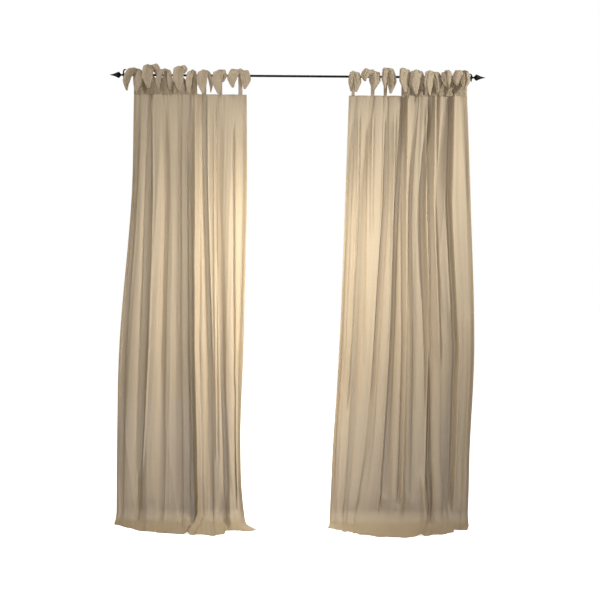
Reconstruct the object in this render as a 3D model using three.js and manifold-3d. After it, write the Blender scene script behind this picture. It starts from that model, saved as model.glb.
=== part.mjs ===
// A pair of tie-top sheer curtains on one slim rod with spear finials.
// Millimetres, +Z up, +X to the right seen from the room, and the room on the -Y side.
// The origin is on the rod's axis, midway between the finial tips.

import * as THREE from 'three';
import { mergeVertices } from 'three/addons/utils/BufferGeometryUtils.js';
import Module from 'manifold-3d';

// Rows of numbers under named columns
const table = (columns, rows) => rows.map(
  (row) => Object.fromEntries(row.map((value, i) => [columns[i], value])),
);

// The rod and its finials
const ROD_DIAMETER = 10;
const ROD_LENGTH = 1586;
const ROD_SIDES = 20;
const PIECE_GAP = 0.3; // between pieces that meet
const FINIAL_LENGTH = 69; // from the rod's end to the tip
const FINIAL_FLATNESS = 0.72; // the spear's thickness over its width
const FINIAL_SIDES = 10;
const HORN_SIDES = 8;

// The finial from the rod's end out: a sleeve, a neck and the spear
const FINIAL_PROFILE = [
  { along: 0, radius: 0 },
  { along: 0, radius: 6.5 },
  { along: 9, radius: 6.5 },
  { along: 11.5, radius: 4 },
  { along: 16, radius: 4 },
  { along: 28, radius: 14 },
  { along: 36, radius: 11 },
  { along: 48, radius: 5.8 },
  { along: 60, radius: 2.8 },
  { along: FINIAL_LENGTH, radius: 0 },
];

// The horned collar, from its lower tip to its upper one. up is a height under the rod's axis or, over it, a
// share of the upper horn's.
const HORN_PATH = [
  { along: 5, up: -20, radius: 1.2 },
  { along: 4, up: -10, radius: 3.8 },
  { along: 4.5, up: 0, radius: 4.6 },
  { along: 5.5, up: 0.5, radius: 3.2 },
  { along: 2, up: 0.85, radius: 3.6 },
  { along: -8, up: 1, radius: 1.2 },
];
const UPPER_HORN = { left: 26, right: 16 }; // the right one is turned on the rod, and rises less

// The cloth, as it was cut and hemmed
const CLOTH_WIDTH = 1016;
const CLOTH_LENGTH = 2134;
const CLOTH_THICKNESS = 2;
const TIES_PER_PANEL = 8;
const SIDE_MARGIN = 24; // from a side edge to the middle of the nearest tie
const TIE_SPACING = (CLOTH_WIDTH - 2 * SIDE_MARGIN) / (TIES_PER_PANEL - 1);

// How it hangs
const HEADING_DROP = 86; // from the rod's axis to the top edge
const FLOOR_DROP = 2088; // from the rod's axis to the floor
const HANGING_LENGTH = FLOOR_DROP - HEADING_DROP - CLOTH_THICKNESS / 2; // to the middle of the lying cloth
const FLOOR_BEND_RADIUS = 60;
const LARGEST_BEND_SHARE = 0.7; // or that much of the hem's reach, where it is short
const SWING_BACK = 14; // how far the folds settle behind the rod, so that they hang under it
const SWING_LENGTH = 500; // over this much of the drop
const DRAG_FROM = 1700; // from here down, the lying hem draws them forward again

// How deep the folds are, as a share of the depth that their cloth allows, down the panel
const FOLD_DEPTHS = [
  { down: 0, share: 0.28 },
  { down: 420, share: 0.8 },
  { down: 1760, share: 0.8 },
  { down: 1940, share: 0.5 },
  { down: 2034, share: 0.28 },
  { down: CLOTH_LENGTH, share: 0.1 },
];
const LOW_DEPTH_FROM = 900; // where the folds begin to change from their upper depth to their lower one
const LOW_DEPTH_TO = 1650;

// Cross-sections of the cloth solid, by their distance down it from the top edge
const SECTIONS_DOWN = [
  0, 70, 190, 400, 680, 980, 1270, 1530, 1740, 1870, 1940, 1985, 2025, 2075, CLOTH_LENGTH,
];

// Points round one fold, as shares of its cloth from one fold line to the next
const FOLD_STATIONS = [0, 0.1, 0.22, 0.36, 0.5, 0.64, 0.78, 0.9];
const EDGE_STATIONS = [0, 0.18, 0.36, 0.68];

// The heights at which the fold lines are placed, by their distance down the cloth
const STATION_DOWN = { heading: 0, upper: 475, middle: 1152, low: 1646, floor: 1990, hem: CLOTH_LENGTH };

// One row for each fold line of a panel, from its left side edge to its right. The fold lines between the
// edges run down from the ties. The first six columns are the line's place along the rod at six heights, and
// reach is how far forward the hem lies there. The last three are for the fold between this line and the
// next: its depth against a full fold above the middle and below it, and how far its crest leans right.
const FOLD_LINE_COLUMNS = [
  'heading', 'upper', 'middle', 'low', 'floor', 'hem', 'reach', 'above', 'below', 'lean',
];
const LEFT_FOLD_LINES = table(FOLD_LINE_COLUMNS, [
  [-751, -768, -830, -847, -849, -843, 72, 0.9, 0.9, 0],
  [-731, -747, -808, -825, -829, -822, 80, 0.5, 0.5, -30],
  [-672, -695, -718, -742, -738, -711, 148, 0.7, 0.6, 20],
  [-606, -604, -629, -640, -639, -614, 170, 0.35, 0.3, 8],
  [-539, -544, -546, -543, -538, -520, 184, 0.4, 0.4, 4],
  [-481, -494, -492, -488, -483, -468, 192, 1.0, 1.1, -24],
  [-428, -420, -402, -399, -394, -363, 203, 0.6, 0.5, 0],
  [-354, -367, -350, -330, -317, -305, 172, 0.7, 0.7, 6],
  [-254, -252, -266, -280, -256, -196, 142, 0.9, 0.9, 0],
  [-233, -231, -245, -258, -235, -170, 124, 0.9, 0.9, 0],
]);
const RIGHT_FOLD_LINES = table(FOLD_LINE_COLUMNS, [
  [237, 226, 207, 181, 168, 155, 92, 0.9, 0.9, 0],
  [258, 247, 228, 202, 189, 181, 104, 0.6, 0.5, 0],
  [346, 300, 284, 264, 241, 231, 139, 0.6, 0.4, 0],
  [404, 414, 383, 355, 297, 280, 170, 0.7, 0.5, 0],
  [491, 465, 451, 436, 422, 380, 200, 1.0, 0.8, 0],
  [548, 526, 539, 538, 532, 501, 207, 0.4, 0.5, 0],
  [611, 579, 617, 634, 640, 601, 184, 1.0, 0.8, 16],
  [681, 657, 690, 700, 714, 678, 166, 0.9, 0.9, 10],
  [759, 789, 822, 812, 807, 782, 122, 0.9, 0.9, 0],
  [780, 810, 843, 833, 828, 803, 111, 0.9, 0.9, 0],
]);

// The ties
const TIE_THICKNESS = 2;
const TIE_KNOT_WIDTH = 18;
const TIE_KNOT_DEPTH = 22;
const KNOT_FORWARD = 3.3; // from the rod's axis into the room
const KNOT_SIDES = 7;
const KNOT_RINGS = 4;
const LOOP_WIDTH = 20; // the strips' width over the rod
const LOOP_ARC_STEPS = 3; // to a quarter turn
const STEM_THICKNESS = 4; // the two strips together at the heading
const LOOP_CLEARANCE = 0.6; // between the rod and the strips round it
const LOOP_SPLIT = 44; // how far under the rod's axis the two strips part
const LOOP_OPEN = 26; // how far under it they have spread to the width of their foot
const TAIL_ROWS = [0, 0.22, 0.48, 0.74, 1];
const TAIL_COLUMNS = [-1, 0, 1];
const TAIL_START_SHARE = 0.62; // its width where it leaves the knot, over its greatest
const TAIL_OPEN_AT = 0.48; // the share of its length by which a tail has opened out
const TAIL_CLOSE_FROM = 0.74; // and from which it is cut to its point
const TAIL_END_SHARE = 0.2; // the point's width over the tail's
const TAIL_LEAVE = 0.4; // how far out it comes over the rod, and how far down it swings out, as shares
const TAIL_SWELL = 1.3; // how far out a tail swings on its way, over where its tip lies
const TAIL_CUP = 0.18; // how far a tail's edges bend back, as a share of its width
const TAIL_ROOF = 0.55; // how far they drop beside its middle over the rod, as a share of its half width
const TAIL_TURN_AT = 0.5; // the share of its length over which this roof flattens out
const TAIL_CLEARANCE = 5; // from a tail's edges to the strips over the rod
const SHINGLE_STEP = 11; // the left tails hang this much nearer the room, over the right tail beside them
const HEADING_CLEARANCE_Y = 47; // tails that reach over the heading's crests hang this far into the room
const HEADING_CLEARANCE_DROP = HEADING_DROP - 4; // tails that reach lower than this do so

// One row for each tie, from the left of its panel. It stands at x on the rod, its top that far above the
// rod's axis. footLeft and footRight are how far its strips spread to either side where they are sewn to the
// heading. Each tail's tip lies out to the side and drop under the axis, and wide is its greatest width.
const TIE_COLUMNS = [
  'x', 'top', 'footLeft', 'footRight', 'leftOut', 'leftDrop', 'leftWide', 'rightOut', 'rightDrop', 'rightWide',
];
const LEFT_TIES = table(TIE_COLUMNS, [
  [-736, 29, 15, 31, -50, 78, 40, 8, 91, 48],
  [-672, 46, 31, 32, -12, 66, 50, 30, 2, 34],
  [-606, 30, 32, 33, -30, 80, 26, 24, 72, 26],
  [-539, 41, 33, 28, -5, 78, 48, 24, -2, 28],
  [-481, 26, 28, 19, -14, 96, 30, 8, 58, 26],
  [-428, 26, 9, 8, -8, 91, 46, 34, 80, 20],
  [-354, 27, 7, 7, -12, 91, 48, 18, 34, 30],
  [-262, 33, 8, 8, -38, 62, 46, 28, 66, 44],
]);
const RIGHT_TIES = table(TIE_COLUMNS, [
  [256, 26, 6, 6, -15, 72, 20, 18, 74, 38],
  [346, 33, 7, 7, -42, 28, 36, 8, 68, 52],
  [404, 41, 6, 6, -8, 60, 26, 28, 80, 44],
  [491, 41, 12, 28, -6, 78, 46, 16, 40, 26],
  [548, 32, 28, 31, -16, 91, 50, 18, 56, 30],
  [611, 30, 31, 34, -16, 93, 42, 34, 80, 42],
  [681, 32, 35, 34, -4, 58, 46, 22, 80, 24],
  [750, 31, 34, 29, -28, 46, 38, 22, 60, 50],
]);

const sheerCloth = () => new THREE.MeshStandardMaterial({ color: 0xb09c7f, roughness: 0.9, metalness: 0 });
const tieCloth = () => new THREE.MeshStandardMaterial({ color: 0xa5947a, roughness: 0.9, metalness: 0 });
const blackIron = () => new THREE.MeshStandardMaterial({ color: 0x141212, roughness: 0.45, metalness: 0.3 });

const wasm = await Module();
wasm.setup();

const namedMesh = (name, geometry, material) => {
  const mesh = new THREE.Mesh(geometry, material);
  mesh.name = name;
  return mesh;
};

const lerp = THREE.MathUtils.lerp;
const smooth = (share) => THREE.MathUtils.smoothstep(share, 0, 1);

// Joining

const SAME_POINT = 1e-4; // corners closer than this are one

function toSolid(geometry) {
  const bare = geometry.clone();
  bare.deleteAttribute('normal');
  bare.deleteAttribute('uv');
  const merged = mergeVertices(bare, SAME_POINT);
  const vertProperties = new Float32Array(merged.getAttribute('position').array);
  const triVerts = new Uint32Array(merged.index.array);
  return new wasm.Manifold(new wasm.Mesh({ numProp: 3, vertProperties, triVerts }));
}

function toGeometry(solid) {
  const { vertProperties, triVerts } = solid.getMesh();
  const geometry = new THREE.BufferGeometry();
  geometry.setAttribute('position', new THREE.BufferAttribute(new Float32Array(vertProperties), 3));
  geometry.setIndex(new THREE.BufferAttribute(new Uint32Array(triVerts), 1));
  geometry.computeVertexNormals();
  return geometry;
}

// Sheets

// A closed sheet of even thickness round a grid of middle points, grid[row][column]. Its front is the side
// from which the columns run left to right and the rows run down.
function sheetGeometry(grid, thickness, lowest = -Infinity) {
  const rows = grid.length;
  const columns = grid[0].length;
  const front = [];
  const back = [];
  for (let r = 0; r < rows; r += 1) {
    for (let c = 0; c < columns; c += 1) {
      const along = grid[Math.min(r + 1, rows - 1)][c].clone().sub(grid[Math.max(r - 1, 0)][c]);
      const across = grid[r][Math.min(c + 1, columns - 1)].clone().sub(grid[r][Math.max(c - 1, 0)]);
      const half = along.cross(across).normalize().multiplyScalar(thickness / 2);
      front.push(grid[r][c].clone().add(half));
      back.push(grid[r][c].clone().sub(half));
    }
  }
  const points = [...front, ...back];
  points.forEach((point) => {
    point.z = Math.max(point.z, lowest);
  });
  const behind = front.length;
  const at = (r, c) => r * columns + c;
  const index = [];
  const quad = (a, b, c, d) => index.push(a, b, c, a, c, d);
  for (let r = 0; r + 1 < rows; r += 1) {
    for (let c = 0; c + 1 < columns; c += 1) {
      quad(at(r, c), at(r + 1, c), at(r + 1, c + 1), at(r, c + 1));
      quad(behind + at(r, c), behind + at(r, c + 1), behind + at(r + 1, c + 1), behind + at(r + 1, c));
    }
    const last = columns - 1;
    quad(at(r, 0), behind + at(r, 0), behind + at(r + 1, 0), at(r + 1, 0));
    quad(at(r, last), at(r + 1, last), behind + at(r + 1, last), behind + at(r, last));
  }
  for (let c = 0; c + 1 < columns; c += 1) {
    quad(at(0, c), at(0, c + 1), behind + at(0, c + 1), behind + at(0, c));
    quad(at(rows - 1, c), behind + at(rows - 1, c), behind + at(rows - 1, c + 1), at(rows - 1, c + 1));
  }
  const geometry = new THREE.BufferGeometry();
  geometry.setAttribute('position', new THREE.Float32BufferAttribute(points.flatMap((p) => p.toArray()), 3));
  geometry.setIndex(index);
  geometry.computeVertexNormals();
  return geometry;
}

// Folds

const FOLD_STEPS = 64; // straight steps in which a fold's curve is added up
const LARGEST_SWING = 2.3; // radians, where a fold would touch the next
const HALVINGS = 24; // in the search for a swing
const BROADEST_CREST = 0.5; // how much broader a loose fold's crest is than the valley beside it
const TIGHT_FOLD = 0.24; // a fold gathered to this share of its flat width has an even crest and valley
const LOOSE_FOLD = 0.5;

const crestBreadth = (gathered) => BROADEST_CREST
  * THREE.MathUtils.clamp((gathered - TIGHT_FOLD) / (LOOSE_FOLD - TIGHT_FOLD), 0, 1);

// Cloth hanging in a fold swings its direction from side to side like a sine, more slowly over the crest than
// in the valley. This walks that curve from one share of the fold to another, for a fold of unit cloth width,
// and gives how far it gets along the rod and into the room.
function foldWalk(swing, breadth, from, to) {
  const step = (to - from) / FOLD_STEPS;
  let along = 0;
  let forward = 0;
  for (let i = 0; i < FOLD_STEPS; i += 1) {
    const turn = 2 * Math.PI * (from + (i + 0.5) * step);
    const direction = swing * Math.sin(turn + breadth * Math.sin(turn));
    along += Math.cos(direction) * step;
    forward += Math.sin(direction) * step;
  }
  return { along, forward };
}

// The swing with which a fold hangs in this share of its flat width
function swingFor(gathered) {
  const breadth = crestBreadth(gathered);
  let low = 0;
  let high = LARGEST_SWING;
  for (let i = 0; i < HALVINGS; i += 1) {
    const middle = (low + high) / 2;
    if (foldWalk(middle, breadth, 0, 1).along > gathered) low = middle;
    else high = middle;
  }
  return (low + high) / 2;
}

// A fold line's place along the rod, this far down the cloth: one smooth curve through its named stations
function stationValue(line, down) {
  const names = Object.keys(STATION_DOWN);
  const last = names.length - 1;
  const slopeAt = (i) => {
    const [before, after] = [names[Math.max(i - 1, 0)], names[Math.min(i + 1, last)]];
    return (line[after] - line[before]) / (STATION_DOWN[after] - STATION_DOWN[before]);
  };
  let i = 0;
  while (i < last - 1 && down > STATION_DOWN[names[i + 1]]) i += 1;
  const [above, below] = [names[i], names[i + 1]];
  const span = STATION_DOWN[below] - STATION_DOWN[above];
  const t = (down - STATION_DOWN[above]) / span;
  const blend = smooth(t);
  const leaving = t ** 3 - 2 * t ** 2 + t;
  const arriving = t ** 3 - t ** 2;
  return lerp(line[above], line[below], blend) + span * (leaving * slopeAt(i) + arriving * slopeAt(i + 1));
}

function depthShare(down) {
  let i = 0;
  while (i < FOLD_DEPTHS.length - 2 && down > FOLD_DEPTHS[i + 1].down) i += 1;
  const [above, below] = [FOLD_DEPTHS[i], FOLD_DEPTHS[i + 1]];
  return lerp(above.share, below.share, smooth((down - above.down) / (below.down - above.down)));
}

// Where the fold lines' own path is, this far down the cloth: straight down, round a bend and forward over
// the floor. tip is the angle that the cloth has turned from hanging to lying.
function hangingPath(down, reach) {
  const radius = Math.min(FLOOR_BEND_RADIUS, reach * LARGEST_BEND_SHARE);
  const straight = HANGING_LENGTH - radius;
  const bend = (Math.PI / 2) * radius;
  if (down <= straight) return { forward: 0, drop: down, tip: 0 };
  if (down <= straight + bend) {
    const tip = (down - straight) / radius;
    return { forward: radius * (1 - Math.cos(tip)), drop: straight + radius * Math.sin(tip), tip };
  }
  const lying = (down - straight - bend) / (CLOTH_LENGTH - straight - bend);
  return { forward: radius + lying * (reach - radius), drop: HANGING_LENGTH, tip: Math.PI / 2 };
}

// One point of a panel's middle surface: on the fold that starts at lines[fold], this share along it, this
// far down. The first and last are half folds, from a side edge to the tie beside it.
function panelPoint(lines, fold, share, down) {
  const line = lines[fold];
  const next = lines[fold + 1];
  const left = stationValue(line, down);
  const width = stationValue(next, down) - left;
  const isLeftEdge = fold === 0;
  const isRightEdge = fold === lines.length - 2;
  const isEdge = isLeftEdge || isRightEdge;
  const flat = isEdge ? 2 * SIDE_MARGIN : TIE_SPACING;
  const gathered = width / (isEdge ? SIDE_MARGIN : TIE_SPACING);
  const swing = swingFor(gathered);
  const breadth = crestBreadth(gathered);
  const from = isLeftEdge ? 0.5 : 0;
  const to = from + share * (isEdge ? 0.5 : 1);
  const walked = foldWalk(swing, breadth, from, to);
  const start = isLeftEdge ? foldWalk(swing, breadth, 0, 0.5).forward : 0;
  const lowered = smooth((down - LOW_DEPTH_FROM) / (LOW_DEPTH_TO - LOW_DEPTH_FROM));
  const depth = lerp(line.above, line.below, lowered);
  const offset = Math.max((start + walked.forward) * flat, 0) * depth * depthShare(down);
  const reach = lerp(line.reach, next.reach, share);
  const path = hangingPath(down, reach);
  const dragged = smooth((down - DRAG_FROM) / (CLOTH_LENGTH - DRAG_FROM));
  const swung = SWING_BACK * smooth(down / SWING_LENGTH) * (1 - dragged);
  return new THREE.Vector3(
    left + walked.along * flat + (line.lean * offset) / TIE_SPACING,
    swung - path.forward - offset * Math.cos(path.tip),
    -HEADING_DROP - path.drop + offset * Math.sin(path.tip),
  );
}

function panelGeometry(lines) {
  const grid = SECTIONS_DOWN.map((down) => {
    const row = [];
    for (let fold = 0; fold + 1 < lines.length; fold += 1) {
      const isEdge = fold === 0 || fold === lines.length - 2;
      const stations = isEdge ? EDGE_STATIONS : FOLD_STATIONS;
      stations.forEach((share) => row.push(panelPoint(lines, fold, share, down)));
    }
    row.push(panelPoint(lines, lines.length - 2, 1, down));
    return row;
  });
  return sheetGeometry(grid, CLOTH_THICKNESS, -FLOOR_DROP);
}

// Ties

// The two strips' way round the rod: sewn together at the heading, where they spread to the foot's width,
// parted over the rod and closed above it
function loopGeometry(footLeft, footRight) {
  const outer = ROD_DIAMETER / 2 + LOOP_CLEARANCE + TIE_THICKNESS;
  const inner = outer - TIE_THICKNESS;
  const foot = HEADING_DROP - PIECE_GAP;
  const opened = LOOP_OPEN / LOOP_SPLIT;
  const outerOpen = lerp(outer, STEM_THICKNESS / 2, opened);
  const innerOpen = lerp(inner, 0, opened);
  const outline = new THREE.Shape();
  outline.moveTo(-STEM_THICKNESS / 2, -foot);
  outline.lineTo(STEM_THICKNESS / 2, -foot);
  outline.lineTo(STEM_THICKNESS / 2, -LOOP_SPLIT);
  outline.lineTo(outerOpen, -LOOP_OPEN);
  outline.lineTo(outer, 0);
  outline.absarc(0, 0, outer, 0, Math.PI, false);
  outline.lineTo(-outerOpen, -LOOP_OPEN);
  outline.lineTo(-STEM_THICKNESS / 2, -LOOP_SPLIT);
  outline.closePath();
  const hole = new THREE.Path();
  hole.moveTo(0, -LOOP_SPLIT);
  hole.lineTo(-innerOpen, -LOOP_OPEN);
  hole.lineTo(-inner, 0);
  hole.absarc(0, 0, inner, Math.PI, 0, true);
  hole.lineTo(innerOpen, -LOOP_OPEN);
  hole.closePath();
  outline.holes.push(hole);
  const geometry = new THREE.ExtrudeGeometry(outline, {
    depth: 1, bevelEnabled: false, curveSegments: LOOP_ARC_STEPS,
  });
  geometry.translate(0, 0, -0.5);
  geometry.rotateX(Math.PI / 2);
  geometry.rotateZ(Math.PI / 2);
  const position = geometry.getAttribute('position');
  for (let i = 0; i < position.count; i += 1) {
    const under = THREE.MathUtils.clamp(-position.getZ(i) / LOOP_OPEN, 0, 1);
    const reach = position.getX(i) < 0 ? footLeft : footRight;
    position.setX(i, position.getX(i) * 2 * lerp(LOOP_WIDTH / 2, reach, under));
  }
  return geometry;
}

// The knot above the rod, a lump of turned cloth that holds the upper ends of both tails
function knotGeometry(top) {
  const low = ROD_DIAMETER / 2 + LOOP_CLEARANCE;
  const geometry = new THREE.SphereGeometry(1, KNOT_SIDES, KNOT_RINGS);
  geometry.rotateX(Math.PI / 2);
  geometry.scale(TIE_KNOT_WIDTH / 2, TIE_KNOT_DEPTH / 2, (top - low) / 2);
  geometry.translate(0, -KNOT_FORWARD, (top + low) / 2);
  return geometry;
}

// A free tail: out of the knot, over to its side and down in front of the rod, to a pointed end
function tailGeometry(top, tail, nearer) {
  const stripFront = ROD_DIAMETER / 2 + LOOP_CLEARANCE + TIE_THICKNESS;
  const hangY = -stripFront - TAIL_CLEARANCE - tail.wide * TAIL_CUP - nearer;
  const tipY = tail.drop > HEADING_CLEARANCE_DROP ? -HEADING_CLEARANCE_Y : hangY;
  const route = new THREE.CubicBezierCurve3(
    new THREE.Vector3(0, -nearer, top - TIE_THICKNESS),
    new THREE.Vector3(tail.out * TAIL_LEAVE, hangY, top),
    new THREE.Vector3(tail.out * TAIL_SWELL, hangY, lerp(top, -tail.drop, TAIL_LEAVE)),
    new THREE.Vector3(tail.out, tipY, -tail.drop),
  );
  const chord = new THREE.Vector3(tail.out, 0, -tail.drop - top).normalize();
  const grid = TAIL_ROWS.map((along) => {
    const middle = route.getPoint(along);
    const turned = smooth(along / TAIL_TURN_AT);
    const run = route.getTangent(along).setY(0).multiplyScalar(turned).addScaledVector(chord, 1 - turned);
    const across = run.cross(new THREE.Vector3(0, 1, 0)).normalize();
    const opening = tail.wide * lerp(TAIL_START_SHARE, 1, smooth(along / TAIL_OPEN_AT));
    const closing = 1 - Math.max((along - TAIL_CLOSE_FROM) / (1 - TAIL_CLOSE_FROM), 0) * (1 - TAIL_END_SHARE);
    const half = (opening * closing) / 2;
    return TAIL_COLUMNS.map((side) => {
      const point = middle.clone().addScaledVector(across, -side * half);
      point.y += side * side * half * 2 * TAIL_CUP;
      point.z -= side * side * half * TAIL_ROOF * (1 - turned);
      return point;
    });
  });
  return sheetGeometry(grid, TIE_THICKNESS);
}

function tieGeometry(tie) {
  const leftTail = { out: tie.leftOut, drop: tie.leftDrop, wide: tie.leftWide };
  const rightTail = { out: tie.rightOut, drop: tie.rightDrop, wide: tie.rightWide };
  const whole = toSolid(loopGeometry(tie.footLeft, tie.footRight))
    .add(toSolid(knotGeometry(tie.top)))
    .add(toSolid(tailGeometry(tie.top, leftTail, SHINGLE_STEP)))
    .add(toSolid(tailGeometry(tie.top, rightTail, 0)));
  return toGeometry(whole);
}

// The rod and its finials

// The horned collar: a round bar of changing thickness along a curve, closed at both ends. upperHorn is how
// high its upper end rises over the rod's axis.
function hornGeometry(upperHorn) {
  const curve = new THREE.CatmullRomCurve3(
    HORN_PATH.map(({ along, up }) => new THREE.Vector3(along, 0, up > 0 ? up * upperHorn : up)),
  );
  const rings = HORN_PATH.map(({ radius }, i) => {
    const along = i / (HORN_PATH.length - 1);
    const centre = curve.getPoint(along);
    const aside = new THREE.Vector3(0, 1, 0).cross(curve.getTangent(along)).normalize();
    return Array.from({ length: HORN_SIDES }, (_, side) => {
      const angle = (2 * Math.PI * side) / HORN_SIDES;
      return centre.clone().addScaledVector(aside, radius * Math.cos(angle))
        .add(new THREE.Vector3(0, radius * Math.sin(angle), 0));
    });
  });
  const points = [...rings.flat(), curve.getPoint(0), curve.getPoint(1)];
  const startPole = points.length - 2;
  const endPole = points.length - 1;
  const last = (rings.length - 1) * HORN_SIDES;
  const index = [];
  for (let side = 0; side < HORN_SIDES; side += 1) {
    const next = (side + 1) % HORN_SIDES;
    for (let ring = 0; ring + 1 < rings.length; ring += 1) {
      const [a, b] = [ring * HORN_SIDES + side, ring * HORN_SIDES + next];
      index.push(a, b, b + HORN_SIDES, a, b + HORN_SIDES, a + HORN_SIDES);
    }
    index.push(startPole, next, side, endPole, last + side, last + next);
  }
  const geometry = new THREE.BufferGeometry();
  geometry.setAttribute('position', new THREE.Float32BufferAttribute(points.flatMap((p) => p.toArray()), 3));
  geometry.setIndex(index);
  geometry.computeVertexNormals();
  return geometry;
}

// A finial that points along +X from the rod's end at x = 0, with its collar upright
function finialGeometry(upperHorn) {
  const profile = FINIAL_PROFILE.map(({ along, radius }) => new THREE.Vector2(radius, along));
  const spear = new THREE.LatheGeometry(profile, FINIAL_SIDES);
  spear.rotateZ(-Math.PI / 2);
  spear.scale(1, FINIAL_FLATNESS, 1);
  return toGeometry(toSolid(spear).add(toSolid(hornGeometry(upperHorn))));
}

function rodGeometry() {
  const geometry = new THREE.CylinderGeometry(ROD_DIAMETER / 2, ROD_DIAMETER / 2, ROD_LENGTH, ROD_SIDES);
  geometry.rotateZ(Math.PI / 2);
  return geometry;
}

// Putting it together

const rodAssembly = new THREE.Group();
rodAssembly.add(namedMesh('rod', rodGeometry(), blackIron()));
const rightFinial = namedMesh('finial_right', finialGeometry(UPPER_HORN.right), blackIron());
rightFinial.position.x = ROD_LENGTH / 2 + PIECE_GAP;
const leftFinial = namedMesh('finial_left', finialGeometry(UPPER_HORN.left), blackIron());
leftFinial.position.x = -ROD_LENGTH / 2 - PIECE_GAP;
leftFinial.rotation.z = Math.PI;
rodAssembly.add(leftFinial, rightFinial);

function hungPanel(side, foldLines, ties) {
  const group = new THREE.Group();
  group.add(namedMesh(`panel_${side}`, panelGeometry(foldLines), sheerCloth()));
  ties.forEach((tie, i) => {
    const mesh = namedMesh(`tie_${side}_${i + 1}`, tieGeometry(tie), tieCloth());
    mesh.position.x = tie.x;
    group.add(mesh);
  });
  return group;
}

const curtains = new THREE.Group();
curtains.add(rodAssembly);
curtains.add(hungPanel('left', LEFT_FOLD_LINES, LEFT_TIES));
curtains.add(hungPanel('right', RIGHT_FOLD_LINES, RIGHT_TIES));

export default curtains;
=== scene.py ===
import math
import random

import bpy
import numpy as np
from mathutils import Matrix, Vector


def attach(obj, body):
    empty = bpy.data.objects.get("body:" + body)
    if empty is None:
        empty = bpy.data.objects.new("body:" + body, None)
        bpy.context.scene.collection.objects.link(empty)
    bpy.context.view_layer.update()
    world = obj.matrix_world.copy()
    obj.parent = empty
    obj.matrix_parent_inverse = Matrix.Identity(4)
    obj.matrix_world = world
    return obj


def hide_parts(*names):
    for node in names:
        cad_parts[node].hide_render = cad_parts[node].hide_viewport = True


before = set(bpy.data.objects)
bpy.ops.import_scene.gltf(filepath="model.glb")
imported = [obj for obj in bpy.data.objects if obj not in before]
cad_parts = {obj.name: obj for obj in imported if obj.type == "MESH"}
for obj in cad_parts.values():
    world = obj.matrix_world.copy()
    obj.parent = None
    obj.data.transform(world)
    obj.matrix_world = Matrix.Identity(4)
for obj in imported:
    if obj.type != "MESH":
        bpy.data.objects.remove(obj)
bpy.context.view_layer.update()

# Metres, +Z up, +X to the right seen from the room, and the room on the -Y side. The origin is on the rod's
# axis, midway between the finial tips.


# The rod: one round bar of iron, 10 mm thick and painted satin black. The ties carry the cloth on it, and a
# finial closes each end.

ROD_DIAMETER = 0.010
ROD_LENGTH = 1.586
ROD_SIDES = 48
ROD_CHAMFER = 0.0006
BLACK_PAINT = (0.004, 0.0035, 0.003)
RUBBED_PAINT = (0.016, 0.014, 0.012)
PAINT_ROUGHNESS = (0.52, 0.70)  # where it is least rubbed, and most
PAINT_GLINT = 0.12
RUB_SCALE = 60  # rubbed patches to a metre
RUBBED_RANGE = (0.52, 0.78)  # from where the browner paint begins to show to where it is plain
SPRAY_SCALE = 900  # grains of the spray texture to a metre
SPRAY_HEIGHT = 0.0002
SPRAY_STRENGTH = 0.35


def mesh_piece(name, points, faces, uv=None):
    """A smooth mesh object from rows of points and faces. uv holds each point's place on its flat cut."""
    mesh = bpy.data.meshes.new(name)
    mesh.from_pydata([tuple(point) for point in points], [], [tuple(face) for face in faces])
    mesh.polygons.foreach_set("use_smooth", [True] * len(mesh.polygons))
    if uv is not None:
        corners = np.empty(len(mesh.loops), dtype=np.int32)
        mesh.loops.foreach_get("vertex_index", corners)
        layer = mesh.uv_layers.new(name="flat_cut")
        layer.uv.foreach_set("vector", np.asarray(uv, dtype=np.float32)[corners].ravel())
    mesh.update()
    piece = bpy.data.objects.new(name, mesh)
    bpy.context.scene.collection.objects.link(piece)
    return piece


def grid_faces(rows, columns, around=False):
    """The faces of a grid of points that is stored row by row. With around, each row closes on itself."""
    faces = []
    for r in range(rows - 1):
        for c in range(columns if around else columns - 1):
            a = r * columns + c
            b = r * columns + (c + 1) % columns
            faces.append((a, a + columns, b + columns, b))
    return faces


def round_faces(rings, sides):
    """The faces of a closed round piece, whose points are its rings and then the middles of its two ends."""
    faces = grid_faces(rings, sides, around=True)
    first_end = rings * sides
    last_ring = first_end - sides
    for side in range(sides):
        following = (side + 1) % sides
        faces.append((first_end, side, following))
        faces.append((first_end + 1, last_ring + following, last_ring + side))
    return faces


def turned(profile, sides, flatness=1.0):
    """Points and faces of a turned piece along +X. profile is (along, radius) pairs, from one end to the
    other, and flatness is its thickness in Y over its height."""
    points = []
    for along, radius in profile:
        for side in range(sides):
            angle = 2 * math.pi * side / sides
            points.append((along, radius * flatness * math.cos(angle), radius * math.sin(angle)))
    points += [(profile[0][0], 0, 0), (profile[-1][0], 0, 0)]
    return points, round_faces(len(profile), sides)


def join_parts(parts):
    """One list of points and one of faces from several closed parts."""
    points, faces = [], []
    for part_points, part_faces in parts:
        first = len(points)
        points += [tuple(point) for point in part_points]
        faces += [tuple(index + first for index in face) for face in part_faces]
    return points, faces


def material_with_nodes(name):
    material = bpy.data.materials.new(name)
    material.use_nodes = True
    return material, material.node_tree.nodes, material.node_tree.links


def add_node(nodes, kind, values=None, **settings):
    """A new shader node with these settings, and values for its inputs by their names or numbers."""
    node = nodes.new(kind)
    for name, value in settings.items():
        setattr(node, name, value)
    for entry, value in (values or {}).items():
        node.inputs[entry].default_value = value
    return node


def connect(links, *wires):
    """Each wire is a node, the name of its output, the node that it runs to and that one's input."""
    for source, output, target, entry in wires:
        links.new(source.outputs[output], target.inputs[entry])


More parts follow.
